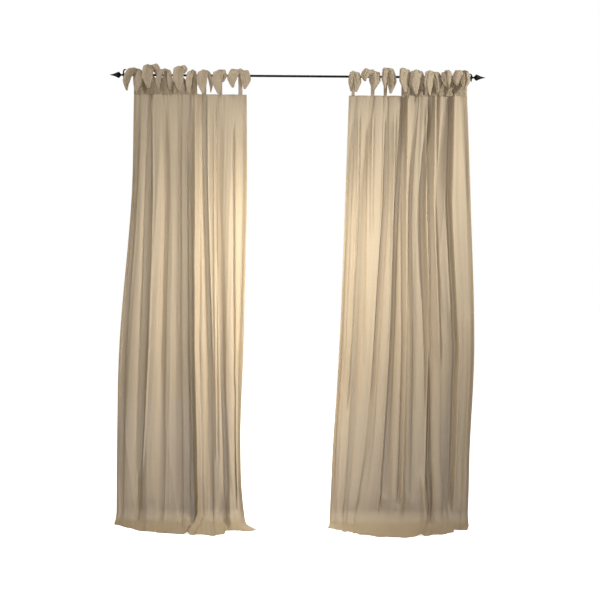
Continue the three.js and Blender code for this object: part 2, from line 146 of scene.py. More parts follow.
def black_iron_material():
    """Satin black paint on iron: fine spray texture, and slightly browner where hands and ties rub it."""
    material, nodes, links = material_with_nodes("black_iron")
    shader = nodes["Principled BSDF"]
    shader.inputs["Specular IOR Level"].default_value = PAINT_GLINT
    place = add_node(nodes, "ShaderNodeTexCoord")
    rub = add_node(nodes, "ShaderNodeTexNoise", {"Scale": RUB_SCALE, "Detail": 6})
    rubbed = add_node(
        nodes, "ShaderNodeMapRange", {"From Min": RUBBED_RANGE[0], "From Max": RUBBED_RANGE[1]},
    )
    colour = add_node(
        nodes, "ShaderNodeMix", {"A": (*BLACK_PAINT, 1), "B": (*RUBBED_PAINT, 1)}, data_type="RGBA",
    )
    gloss = add_node(
        nodes, "ShaderNodeMapRange", {"To Min": PAINT_ROUGHNESS[0], "To Max": PAINT_ROUGHNESS[1]},
    )
    spray = add_node(nodes, "ShaderNodeTexNoise", {"Scale": SPRAY_SCALE, "Detail": 3})
    bump = add_node(nodes, "ShaderNodeBump", {"Strength": SPRAY_STRENGTH, "Distance": SPRAY_HEIGHT})
    connect(
        links,
        (place, "Object", rub, "Vector"),
        (place, "Object", spray, "Vector"),
        (rub, "Fac", rubbed, "Value"),
        (rub, "Fac", gloss, "Value"),
        (rubbed, "Result", colour, "Factor"),
        (colour, "Result", shader, "Base Color"),
        (gloss, "Result", shader, "Roughness"),
        (spray, "Fac", bump, "Height"),
        (bump, "Normal", shader, "Normal"),
    )
    return material


black_iron = black_iron_material()

half_rod = ROD_LENGTH / 2
rod_profile = [
    (-half_rod, ROD_DIAMETER / 2 - ROD_CHAMFER),
    (-half_rod + ROD_CHAMFER, ROD_DIAMETER / 2),
    (half_rod - ROD_CHAMFER, ROD_DIAMETER / 2),
    (half_rod, ROD_DIAMETER / 2 - ROD_CHAMFER),
]
rod_bar = mesh_piece("rod_bar", *turned(rod_profile, ROD_SIDES))
rod_bar.data.materials.append(black_iron)
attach(rod_bar, "root")
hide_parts("rod")


# The finials: each is one iron casting, a sleeve that takes the rod's end, a collar with two small horns
# and a flattened spear head, painted with the rod.

FINIAL_LENGTH = 0.069
FINIAL_POINT = 0.0002  # its radius at the tip, the least anywhere
FINIAL_GAP = 0.0003
FINIAL_FLATNESS = 0.72
FINIAL_SIDES = 64
FINIAL_STEPS = 6  # points between two corners of its profile
FINIAL_PROFILE = [
    (0.000, 0.0058), (0.0006, 0.0065), (0.0085, 0.0065), (0.0098, 0.0056), (0.0115, 0.0041), (0.016, 0.0040),
    (0.0195, 0.0066), (0.0245, 0.0125), (0.0280, 0.0140), (0.0312, 0.0132), (0.036, 0.0110), (0.042, 0.0082),
    (0.048, 0.0058), (0.054, 0.0042), (0.060, 0.0028), (0.0655, 0.0014), (FINIAL_LENGTH, FINIAL_POINT),
]
HORN_SIDES = 24
HORN_STEPS = 12  # rings between two points of its path
# The horned collar, from its lower tip to its upper one, as (along, up, radius). up is a height under the
# rod's axis or, over it, a share of the upper horn's.
HORN_PATH = [
    (0.005, -0.020, 0.0010), (0.0042, -0.016, 0.0022), (0.004, -0.010, 0.0036), (0.0045, 0, 0.0044),
    (0.0055, 0.5, 0.0032), (0.002, 0.85, 0.0034), (-0.008, 1, 0.0011),
]
UPPER_HORN = {"left": 0.026, "right": 0.016}


def smooth_path(knots, steps):
    """Points on the smooth curve through the knots, steps of them to each knot."""
    knots = [np.array(knot, dtype=float) for knot in knots]
    path = []
    for i in range(len(knots) - 1):
        before, start = knots[max(i - 1, 0)], knots[i]
        end, after = knots[i + 1], knots[min(i + 2, len(knots) - 1)]
        for step in range(steps):
            t = step / steps
            path.append(0.5 * (
                2 * start + (end - before) * t + (2 * before - 5 * start + 4 * end - after) * t ** 2
                + (3 * start - before - 3 * end + after) * t ** 3
            ))
    path.append(knots[-1])
    return path


def tube(path, sides):
    """Points and faces of a round bar along a path in the XZ plane. Each of the path's points is
    (along, up, radius), and both ends are rounded off to a point."""
    points = []
    for i, (along, up, radius) in enumerate(path):
        before, after = path[max(i - 1, 0)], path[min(i + 1, len(path) - 1)]
        run = Vector((after[0] - before[0], 0, after[1] - before[1])).normalized()
        aside = run.cross(Vector((0, 1, 0)))
        for side in range(sides):
            angle = 2 * math.pi * side / sides
            out = aside * math.cos(angle) + Vector((0, 1, 0)) * math.sin(angle)
            points.append(Vector((along, 0, up)) + out * radius)
    points += [Vector((path[0][0], 0, path[0][1])), Vector((path[-1][0], 0, path[-1][1]))]
    return points, round_faces(len(path), sides)


spear_profile = [
    (max(along, 0), max(radius, FINIAL_POINT))
    for along, radius in smooth_path(FINIAL_PROFILE, FINIAL_STEPS)
]
for side, direction in (("left", -1), ("right", 1)):
    horn_knots = [
        (along, up * UPPER_HORN[side] if up > 0 else up, radius) for along, up, radius in HORN_PATH
    ]
    spear = turned(spear_profile, FINIAL_SIDES, FINIAL_FLATNESS)
    horns = tube(smooth_path(horn_knots, HORN_STEPS), HORN_SIDES)
    points, faces = join_parts([spear, horns])
    rod_end = direction * (ROD_LENGTH / 2 + FINIAL_GAP)
    placed = [(rod_end + direction * x, direction * y, z) for x, y, z in points]
    finial = mesh_piece(f"spear_finial_{side}", placed, faces)
    finial.data.materials.append(black_iron)
    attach(finial, "root")
    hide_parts(f"finial_{side}")


# The two panels: each is one width of taupe voile, turned over and stitched on all four sides, and sewn to
# its ties along the top. It hangs in the folds that the ties gather, and its foot breaks on the floor.

CLOTH_WIDTH = 1.016
CLOTH_LENGTH = 2.134
TIES_PER_PANEL = 8
SIDE_MARGIN = 0.024  # from a side edge to the middle of the nearest tie
TIE_SPACING = (CLOTH_WIDTH - 2 * SIDE_MARGIN) / (TIES_PER_PANEL - 1)
HEADING_DROP = 0.086  # from the rod's axis to the top edge
FLOOR_DROP = 2.088  # from the rod's axis to the floor
LYING_HEIGHT = 0.001  # of the lying cloth's middle, over the floor
HANGING_LENGTH = FLOOR_DROP - HEADING_DROP - LYING_HEIGHT
FLOOR_BEND_RADIUS = 0.060
LARGEST_BEND_SHARE = 0.7  # or that much of the hem's reach, where it is short
SWING_BACK = 0.014  # how far the folds settle behind the rod
SWING_LENGTH = 0.500
DRAG_FROM = 1.700  # from here down, the lying hem draws them forward again
LOW_DEPTH_FROM = 0.900  # where the folds begin to change from their upper depth to their lower one
LOW_DEPTH_TO = 1.650
LARGEST_SWING = 2.3  # radians, where a fold would touch the next
HALVINGS = 24  # in the search for a swing
SEARCH_COLUMNS = 16  # to a fold, in that search
BROADEST_CREST = 0.5  # how much broader a loose fold's crest is than the valley beside it
TIGHT_FOLD = 0.24  # a fold gathered to this share of its flat width has an even crest and valley
LOOSE_FOLD = 0.5
HEADING_HEM = 0.004
FOOT_HEM = 0.030
HEM_GAP = 0.0007  # between a hem's layers
HEM_LAYERS = 3  # at a corner, where two hems meet
ABOVE_FLOOR = 0.0006  # for each layer that lies on it

# How deep the folds are: (distance down the panel, share of the depth that their cloth allows)
FOLD_DEPTHS = [(0, 0.28), (0.420, 0.8), (1.760, 0.8), (1.940, 0.5), (2.034, 0.28), (CLOTH_LENGTH, 0.1)]

# The heights at which the fold lines are placed, by their distance down the cloth
STATION_DOWN = {
    "heading": 0, "upper": 0.475, "middle": 1.152, "low": 1.646, "floor": 1.990, "hem": CLOTH_LENGTH,
}

# One row for each fold line of a panel, from its left side edge to its right. The fold lines between the
# edges run down from the ties. The first six columns are the line's place along the rod at six heights, and
# reach is how far forward the hem lies there. The last three are for the fold between this line and the
# next: its depth against a full fold above the middle and below it, and how far its crest leans right.
FOLD_LINE_COLUMNS = (
    "heading", "upper", "middle", "low", "floor", "hem", "reach", "above", "below", "lean",
)
FOLD_LINES = {"left": [
    (-0.751, -0.768, -0.830, -0.847, -0.849, -0.843, 0.072, 0.9, 0.9, 0),
    (-0.731, -0.747, -0.808, -0.825, -0.829, -0.822, 0.080, 0.5, 0.5, -0.030),
    (-0.672, -0.695, -0.718, -0.742, -0.738, -0.711, 0.148, 0.7, 0.6, 0.020),
    (-0.606, -0.604, -0.629, -0.640, -0.639, -0.614, 0.170, 0.35, 0.3, 0.008),
    (-0.539, -0.544, -0.546, -0.543, -0.538, -0.520, 0.184, 0.4, 0.4, 0.004),
    (-0.481, -0.494, -0.492, -0.488, -0.483, -0.468, 0.192, 1.0, 1.1, -0.024),
    (-0.428, -0.420, -0.402, -0.399, -0.394, -0.363, 0.203, 0.6, 0.5, 0),
    (-0.354, -0.367, -0.350, -0.330, -0.317, -0.305, 0.172, 0.7, 0.7, 0.006),
    (-0.254, -0.252, -0.266, -0.280, -0.256, -0.196, 0.142, 0.9, 0.9, 0),
    (-0.233, -0.231, -0.245, -0.258, -0.235, -0.170, 0.124, 0.9, 0.9, 0),
], "right": [
    (0.237, 0.226, 0.207, 0.181, 0.168, 0.155, 0.092, 0.9, 0.9, 0),
    (0.258, 0.247, 0.228, 0.202, 0.189, 0.181, 0.104, 0.6, 0.5, 0),
    (0.346, 0.300, 0.284, 0.264, 0.241, 0.231, 0.139, 0.6, 0.4, 0),
    (0.404, 0.414, 0.383, 0.355, 0.297, 0.280, 0.170, 0.7, 0.5, 0),
    (0.491, 0.465, 0.451, 0.436, 0.422, 0.380, 0.200, 1.0, 0.8, 0),
    (0.548, 0.526, 0.539, 0.538, 0.532, 0.501, 0.207, 0.4, 0.5, 0),
    (0.611, 0.579, 0.617, 0.634, 0.640, 0.601, 0.184, 1.0, 0.8, 0.016),
    (0.681, 0.657, 0.690, 0.700, 0.714, 0.678, 0.166, 0.9, 0.9, 0.010),
    (0.759, 0.789, 0.822, 0.812, 0.807, 0.782, 0.122, 0.9, 0.9, 0),
    (0.780, 0.810, 0.843, 0.833, 0.828, 0.803, 0.111, 0.9, 0.9, 0),
]}

# One row for each main crease, a soft ridge or, with a height below 0, a hollow. The first five columns are
# its place along the rod at five heights, and the next four are metres: where down the cloth it starts and
# ends, its width and its height. A sharp one has a trough along one side: trough is that one's depth against
# the ridge's height, above 0 on the ridge's right and below 0 on its left.
CREASE_COLUMNS = ("upper", "middle", "low", "floor", "hem", "start", "end", "width", "height", "trough")
CREASES = {"left": [
    (-0.665, -0.688, -0.717, -0.744, -0.760, -0.1, 1.95, 0.005, 0.006, -0.8),
    (-0.614, -0.638, -0.657, -0.660, -0.660, 0.0, 1.35, 0.004, 0.004, 0.9),
    (-0.548, -0.555, -0.562, -0.565, -0.565, 0.1, 1.30, 0.004, 0.003, 0.9),
    (-0.509, -0.506, -0.495, -0.490, -0.490, 0.1, 1.80, 0.004, 0.006, 0.9),
    (-0.464, -0.470, -0.457, -0.456, -0.482, -0.1, 2.20, 0.010, 0.019, 0.5),
    (-0.411, -0.388, -0.372, -0.365, -0.365, 0.0, 1.30, 0.004, 0.006, -0.9),
    (-0.381, -0.376, -0.371, -0.365, -0.365, 0.0, 1.75, 0.004, 0.008, 0.9),
    (-0.283, -0.281, -0.280, -0.270, -0.240, 0.1, 1.98, 0.004, 0.010, -1.0),
    (-0.690, -0.700, -0.720, -0.748, -0.740, 1.70, 2.12, 0.008, -0.010, 0),
    (-0.300, -0.300, -0.310, -0.310, -0.285, 1.82, 2.16, 0.018, 0.016, -0.7),
], "right": [
    (0.281, 0.258, 0.231, 0.215, 0.205, 0.05, 1.50, 0.004, 0.009, 1.0),
    (0.328, 0.328, 0.325, 0.320, 0.310, 0.10, 1.30, 0.004, 0.005, -0.9),
    (0.346, 0.357, 0.360, 0.360, 0.360, 0.05, 0.70, 0.004, 0.005, 0.9),
    (0.398, 0.366, 0.340, 0.330, 0.330, 0.05, 1.45, 0.004, 0.007, 0.9),
    (0.447, 0.442, 0.417, 0.400, 0.380, 0.05, 1.98, 0.004, 0.010, 1.0),
    (0.505, 0.518, 0.515, 0.510, 0.500, -0.1, 1.95, 0.009, 0.015, -0.8),
    (0.596, 0.626, 0.622, 0.615, 0.600, 0.0, 1.85, 0.007, 0.012, 0.9),
    (0.631, 0.671, 0.680, 0.690, 0.690, -0.1, 1.30, 0.007, 0.015, 0.9),
    (0.719, 0.768, 0.763, 0.755, 0.750, -0.1, 1.98, 0.009, 0.016, -0.9),
    (0.560, 0.575, 0.600, 0.625, 0.575, 1.72, 2.20, 0.016, 0.018, 0.6),
    (0.690, 0.730, 0.738, 0.740, 0.740, 0.95, 2.00, 0.030, -0.012, 0),
    (0.780, 0.796, 0.796, 0.790, 0.780, 0.95, 2.00, 0.020, 0.014, 0),
]}
TROUGH_ASIDE = 1.7  # how far a trough lies from its ridge, in widths of the crease
# Where the lying hem steps back: the step's place along the rod, where it has come forward again, how far
HEM_STEPS = {"left": [(-0.318, -0.205, 0.038)], "right": [(0.238, 0.300, 0.014), (0.735, 0.810, 0.034)]}
HEM_STEP_WIDTH = 0.006
CREASE_RUN_OUT = 0.12  # the length over which a crease's end fades

FOLD_COLUMNS = 42  # columns of the mesh to a fold
EDGE_COLUMNS = 10  # and from a side edge to the nearest tie
HEM_COLUMNS = 5  # and in a side hem, which is 12 mm wide
WALK_STEPS = 4  # steps of the fold's curve to a column
PANEL_ROWS = 250
HEADING_ROWS = 7  # rows in the heading hem, and in the foot hem
FOOT_ROWS = 13

# Fine vertical folds between the large ones: how many, and their ranges of width, height and length
FINE_FOLDS = 170
FINE_FOLD_WIDTH = (0.003, 0.010)
FINE_FOLD_HEIGHT = 0.0019
FINE_FOLD_LENGTH = (0.25, 1.0)
FINE_FOLD_DRIFT = 0.04  # how far one leans, over its length

# Pleats that run down from each tie, where the cloth is gathered to it
PLEATS_PER_TIE = 5
PLEAT_SPREAD = 0.050
PLEAT_SPREAD_SHARE = (0.5, 0.8)  # each pleat's share of it
PLEAT_HEIGHT = 0.0022
PLEAT_HEIGHT_SHARE = (0.5, 1)
PLEAT_LENGTH = 0.16
PLEAT_LENGTH_SHARE = (0.6, 1.2)
PLEAT_WIDTH = (0.0025, 0.0045)

# Soft dents where the cloth slumps on the floor
SLUMPS = 46
SLUMP_HEIGHT = 0.0045
SLUMP_WIDTH = (0.018, 0.05)
SLUMP_LENGTH = (0.015, 0.04)
SLUMP_SLANT = 0.6
SLUMPS_FROM = 1.86
PANEL_SEEDS = {"left": 11, "right": 23}

SHEER_COLOUR = (0.370, 0.283, 0.176)
SHEER_COVER = 0.93  # the share of light that one layer of voile stops, seen straight on
SHEER_CRUMPLE = 0.0004
CRUMPLE_SCALE = 75  # creases to a metre
CRUMPLE_DISTORTION = 1.2
THREAD_PITCH = 0.0006
THREAD_HEIGHT = 0.0001
THREAD_STRENGTH = 0.25
SLUB_LENGTH = 0.05
SLUB_FINENESS = 0.35  # streaks to a thread
SLUB_RANGE = (0.3, 0.7)  # from its darkest yarn to its lightest
SLUB_TONES = (0.95, 1.05)  # and how light those are, over the cloth's colour
WARP_SEED = 3.1
WEFT_SEED = 7.7
VOILE_ROUGHNESS = 0.72
VOILE_GLINT = 0.25
VOILE_SHEEN = 0.12
VOILE_SHEEN_ROUGHNESS = 0.45
VOILE_SHEEN_TINT = (1.0, 0.92, 0.80)
LEAST_COSINE = 0.12  # of the angle at which the cloth is seen


def rows_of(columns, rows):
    return [dict(zip(columns, row)) for row in rows]


def smooth(share):
    share = np.clip(share, 0, 1)
    return share * share * (3 - 2 * share)


def blend(start, end, share):
    return start + (end - start) * share


def station_values(line, down):
    """A fold line's place along the rod at each distance down: one smooth curve through its stations."""
    knots = np.array(list(STATION_DOWN.values()))
    values = np.array([line[name] for name in STATION_DOWN])
    last = len(knots) - 1
    before = np.maximum(np.arange(last + 1) - 1, 0)
    after = np.minimum(np.arange(last + 1) + 1, last)
    slopes = (values[after] - values[before]) / (knots[after] - knots[before])
    i = np.searchsorted(knots[1:-1], down)
    span = knots[i + 1] - knots[i]
    t = (down - knots[i]) / span
    leaving = t ** 3 - 2 * t ** 2 + t
    arriving = t ** 3 - t ** 2
    bowed = span * (leaving * slopes[i] + arriving * slopes[i + 1])
    return blend(values[i], values[i + 1], smooth(t)) + bowed


def crest_breadth(gathered):
    return BROADEST_CREST * np.clip((gathered - TIGHT_FOLD) / (LOOSE_FOLD - TIGHT_FOLD), 0, 1)


def fold_walk(swing, breadth, start, end, columns):
    """Cloth hanging in a fold swings its direction from side to side like a sine, more slowly over the crest
    than in the valley. This walks that curve from one share of the fold to another, for a fold of unit cloth
    width and each swing, and gives how far it gets along the rod and into the room at each column."""
    steps = columns * WALK_STEPS
    step = (end - start) / steps
    turn = 2 * math.pi * (start + (np.arange(steps) + 0.5) * step)[None, :]
    direction = swing[:, None] * np.sin(turn + breadth[:, None] * np.sin(turn))
    along = np.cumsum(np.cos(direction), axis=1) * step
    forward = np.cumsum(np.sin(direction), axis=1) * step
    origin = np.zeros((len(swing), 1))
    along = np.hstack([origin, along[:, WALK_STEPS - 1::WALK_STEPS]])
    forward = np.hstack([origin, forward[:, WALK_STEPS - 1::WALK_STEPS]])
    return along, forward


def swing_for(gathered):
    """The swing with which a fold hangs in this share of its flat width."""
    breadth = crest_breadth(gathered)
    low = np.zeros_like(gathered)
    high = np.full_like(gathered, LARGEST_SWING)
    for _ in range(HALVINGS):
        middle = (low + high) / 2
        too_wide = fold_walk(middle, breadth, 0, 1, SEARCH_COLUMNS)[0][:, -1] > gathered
        low = np.where(too_wide, middle, low)
        high = np.where(too_wide, high, middle)
    return (low + high) / 2


def depth_share(down):
    """The share of the depth that their cloth allows to which the folds are drawn, at each distance."""
    share = np.full_like(down, FOLD_DEPTHS[-1][1])
    for (above, share_above), (below, share_below) in reversed(list(zip(FOLD_DEPTHS, FOLD_DEPTHS[1:]))):
        here = blend(share_above, share_below, smooth((down - above) / (below - above)))
        share = np.where(down <= below, here, share)
    return share


def hanging_path(down, reach):
    """Where the fold lines' own path is: straight down, round a bend and forward over the floor. Gives how
    far forward it is, how far down, and the angle that the cloth has turned from hanging to lying."""
    radius = np.minimum(FLOOR_BEND_RADIUS, reach * LARGEST_BEND_SHARE)
    straight = HANGING_LENGTH - radius
    bend = math.pi / 2 * radius
    tip = np.clip((down - straight) / radius, 0, math.pi / 2)
    lying = np.clip((down - straight - bend) / (CLOTH_LENGTH - straight - bend), 0, 1)
    forward = radius * (1 - np.cos(tip)) + lying * (reach - radius)
    drop = np.minimum(down, straight) + radius * np.sin(tip)
    return forward, drop, tip


def bell(distance, width):
    return np.exp(-((distance / width) ** 2))


def crease_relief(creases, down, across):
    """How far the main creases stand out of the folds at each point, by its place along the rod."""
    relief = np.zeros_like(across)
    names = CREASE_COLUMNS[:5]
    stations = [STATION_DOWN[name] for name in names]
    for crease in creases:
        aside = across - np.interp(down, stations, [crease[name] for name in names])
        begun = smooth((down - crease["start"]) / CREASE_RUN_OUT)
        fading = begun * smooth((crease["end"] - down) / CREASE_RUN_OUT)
        width, trough = crease["width"], crease["trough"]
        beside = aside - np.sign(trough) * TROUGH_ASIDE * width
        relief += crease["height"] * fading * (bell(aside, width) - abs(trough) * bell(beside, width))
    return relief


def hem_steps(steps, across):
    """How far back the hem lies of its fold lines, by its place along the rod."""
    back = np.zeros_like(across)
    for start, end, depth in steps:
        recovered = np.clip((end - across) / (end - start), 0, 1)
        back += depth * smooth((across - start) / HEM_STEP_WIDTH) * recovered
    return back


def panel_surface(lines, creases, steps, down):
    """The panel's middle surface as rows of points at these distances down it, and how far across the flat
    cloth each column is."""
    down = down[:, None]
    lowered = smooth((down - LOW_DEPTH_FROM) / (LOW_DEPTH_TO - LOW_DEPTH_FROM))
    dragged = smooth((down - DRAG_FROM) / (CLOTH_LENGTH - DRAG_FROM))
    swung = SWING_BACK * smooth(down / SWING_LENGTH) * (1 - dragged)
    blocks, flat_places = [], []
    flat_start = 0.0
    last_fold = len(lines) - 2
    for fold in range(last_fold + 1):
        line, following = lines[fold], lines[fold + 1]
        at_edge = fold in (0, last_fold)
        cloth = SIDE_MARGIN if at_edge else TIE_SPACING
        flat = 2 * SIDE_MARGIN if at_edge else TIE_SPACING
        columns = EDGE_COLUMNS if at_edge else FOLD_COLUMNS
        left = station_values(line, down[:, 0])[:, None]
        width = station_values(following, down[:, 0])[:, None] - left
        gathered = width[:, 0] / cloth
        swing, breadth = swing_for(gathered), crest_breadth(gathered)
        start, end = (0.5, 1) if fold == 0 else (0, 0.5) if fold == last_fold else (0, 1)
        along, forward = fold_walk(swing, breadth, start, end, columns)
        begun = fold_walk(swing, breadth, 0, 0.5, columns)[1][:, -1:] if fold == 0 else 0
        depth = blend(line["above"], line["below"], lowered)
        offset = np.maximum((begun + forward) * flat, 0) * depth * depth_share(down)
        share = np.linspace(0, 1, columns + 1)[None, :]
        across = left + along * flat + line["lean"] * offset / TIE_SPACING
        reach = blend(line["reach"], following["reach"], share) - hem_steps(steps, across)
        path_forward, drop, tip = hanging_path(down, reach)
        offset = offset + crease_relief(creases, down, across)
        block = np.stack([
            across,
            swung - path_forward - offset * np.cos(tip),
            -HEADING_DROP - drop + offset * np.sin(tip),
        ], axis=2)
        places = flat_start + share[0] * cloth
        keep = slice(None) if fold == last_fold else slice(0, columns)
        blocks.append(block[:, keep])
        flat_places.append(places[keep])
        flat_start += cloth
    return np.concatenate(blocks, axis=1), np.concatenate(flat_places)


def surface_normals(points):
    """The direction from each point of a grid of rows and columns towards the room."""
    down_run = np.gradient(points, axis=0)
    across_run = np.gradient(points, axis=1)
    normals = np.cross(down_run, across_run)
    return normals / np.maximum(np.linalg.norm(normals, axis=2, keepdims=True), 1e-12)


def fine_relief(flat_across, down, seed):
    """How far the cloth stands proud of its large folds, for each row and column."""
    draw = random.Random(seed)
    across = flat_across[None, :]
    down = down[:, None]
    relief = np.zeros((len(down), len(flat_across)))
    for _ in range(FINE_FOLDS):
        at = draw.uniform(0, CLOTH_WIDTH)
        middle = draw.uniform(0, CLOTH_LENGTH)
        width = draw.uniform(*FINE_FOLD_WIDTH)
        length = draw.uniform(*FINE_FOLD_LENGTH)
        lean = draw.uniform(-FINE_FOLD_DRIFT, FINE_FOLD_DRIFT) / length
        height = draw.uniform(-1, 1) * FINE_FOLD_HEIGHT
        relief += height * bell(across - at - lean * (down - middle), width) * bell(down - middle, length)
    for tie in range(TIES_PER_PANEL):
        tie_at = SIDE_MARGIN + tie * TIE_SPACING
        for pleat in range(PLEATS_PER_TIE):
            aside = (pleat / (PLEATS_PER_TIE - 1) - 0.5) * draw.uniform(*PLEAT_SPREAD_SHARE)
            width = draw.uniform(*PLEAT_WIDTH)
            height = draw.uniform(*PLEAT_HEIGHT_SHARE) * PLEAT_HEIGHT
            length = draw.uniform(*PLEAT_LENGTH_SHARE) * PLEAT_LENGTH
            spread = aside * PLEAT_SPREAD * (0.5 + down / PLEAT_LENGTH)
            widened = width * (1 + 2 * down / length)
            relief += height * bell(across - tie_at - spread, widened) * bell(down, length)
    for _ in range(SLUMPS):
        at = draw.uniform(0, CLOTH_WIDTH)
        middle = draw.uniform(SLUMPS_FROM, CLOTH_LENGTH)
        width = draw.uniform(*SLUMP_WIDTH)
        length = draw.uniform(*SLUMP_LENGTH)
        lean = draw.uniform(-SLUMP_SLANT, SLUMP_SLANT)
        height = draw.uniform(-1, 1) * SLUMP_HEIGHT
        relief += height * bell(across - at, width) * bell(down - middle - lean * (across - at), length)
    return relief


def turned_over(count, first, last):
    """A sheet's rows or columns in order, once so many at each end are turned over, and their layers."""
    order = [*range(first, -1, -1), *range(count), *range(count - 1, count - 2 - last, -1)]
    layers = [1] * (first + 1) + [0] * count + [1] * (last + 1)
    return order, np.array(layers)


def let_out(places, length, first, last):
    """Their places on the flat cloth, where those that are turned over lie past its ends."""
    places[:first + 1] *= -1
    places[-last - 1:] = 2 * length - places[-last - 1:]
    return places


def hemmed(points, normals, flat_across, down):
    """The sheet with its four edges turned over to the back: rows and columns of points, and each point's
    place on the flat cloth."""
    row_order, row_layers = turned_over(points.shape[0], HEADING_ROWS, FOOT_ROWS)
    column_order, column_layers = turned_over(points.shape[1], HEM_COLUMNS, HEM_COLUMNS)
    layer = row_layers[:, None] + column_layers[None, :]
    picked = np.ix_(row_order, column_order)
    sheet = points[picked] - normals[picked] * (HEM_GAP * layer)[:, :, None]
    sheet[:, :, 2] = np.maximum(sheet[:, :, 2], -FLOOR_DROP + ABOVE_FLOOR * (HEM_LAYERS - layer))
    across = let_out(flat_across[column_order], CLOTH_WIDTH, HEM_COLUMNS, HEM_COLUMNS)
    along = let_out(down[row_order], CLOTH_LENGTH, HEADING_ROWS, FOOT_ROWS)
    places = np.stack(np.broadcast_arrays(across[None, :], -along[:, None]), axis=2)
    return sheet, places


def row_distances():
    """Distances down the panel, closer together at the heading and near the floor."""
    heading = np.linspace(0, HEADING_HEM, HEADING_ROWS + 1)
    foot = np.linspace(CLOTH_LENGTH - FOOT_HEM, CLOTH_LENGTH, FOOT_ROWS + 1)
    between = np.linspace(HEADING_HEM, CLOTH_LENGTH - FOOT_HEM, PANEL_ROWS - HEADING_ROWS - FOOT_ROWS)
    return np.concatenate([heading, between[1:-1], foot])


def add_math(nodes, links, operation, *values):
    """The result of a Math node on two values, each a number or another node's output."""
    node = nodes.new("ShaderNodeMath")
    node.operation = operation
    for socket, value in zip(node.inputs, values):
        if isinstance(value, (int, float)):
            socket.default_value = value
        else:
            links.new(value, socket)
    return node.outputs["Value"]


def node_group(name, inputs, outputs):
    """A shader node group with named sockets, as (name, socket type, default) and (name, socket type)."""
    group = bpy.data.node_groups.new(name, "ShaderNodeTree")
    for label, kind, default in inputs:
        socket = group.interface.new_socket(label, in_out="INPUT", socket_type=kind)
        if default is not None:
            socket.default_value = default
    for label, kind in outputs:
        group.interface.new_socket(label, in_out="OUTPUT", socket_type=kind)
    return group


def plain_weave_group():
    """Plain weave on the flat cloth: threads over and under each other, with uneven yarn that shows as fine
    lighter and darker streaks both ways. Puts out the threads' height and how light the yarn is."""
    group = node_group(
        "plain_weave",
        [
            ("Place", "NodeSocketVector", None),
            ("Pitch", "NodeSocketFloat", THREAD_PITCH),
            ("Slub Length", "NodeSocketFloat", SLUB_LENGTH),
        ],
        [("Height", "NodeSocketFloat"), ("Lightness", "NodeSocketFloat")],
    )
    nodes, links = group.nodes, group.links
    given = nodes.new("NodeGroupInput").outputs
    result = nodes.new("NodeGroupOutput").inputs
    split = add_node(nodes, "ShaderNodeSeparateXYZ")
    links.new(given["Place"], split.inputs["Vector"])

    def combined(operation, *values):
        return add_math(nodes, links, operation, *values)

    turns = combined("DIVIDE", math.pi, given["Pitch"])
    warp, weft = [combined("SINE", combined("MULTIPLY", split.outputs[axis], turns)) for axis in "XY"]
    streaks = []
    for fine_axis, coarse_axis, seed in (("X", "Y", WARP_SEED), ("Y", "X", WEFT_SEED)):
        stretch = add_node(nodes, "ShaderNodeCombineXYZ", {"Z": seed})
        fine = combined("DIVIDE", split.outputs[fine_axis], given["Pitch"])
        links.new(combined("MULTIPLY", fine, SLUB_FINENESS), stretch.inputs["X"])
        coarse = combined("DIVIDE", split.outputs[coarse_axis], given["Slub Length"])
        links.new(coarse, stretch.inputs["Y"])
        noise = add_node(nodes, "ShaderNodeTexNoise", {"Scale": 1, "Detail": 4})
        links.new(stretch.outputs["Vector"], noise.inputs["Vector"])
        streaks.append(noise.outputs["Fac"])
    links.new(combined("MULTIPLY", warp, weft), result["Height"])
    links.new(combined("MULTIPLY", combined("ADD", *streaks), 0.5), result["Lightness"])
    return group


plain_weave = plain_weave_group()


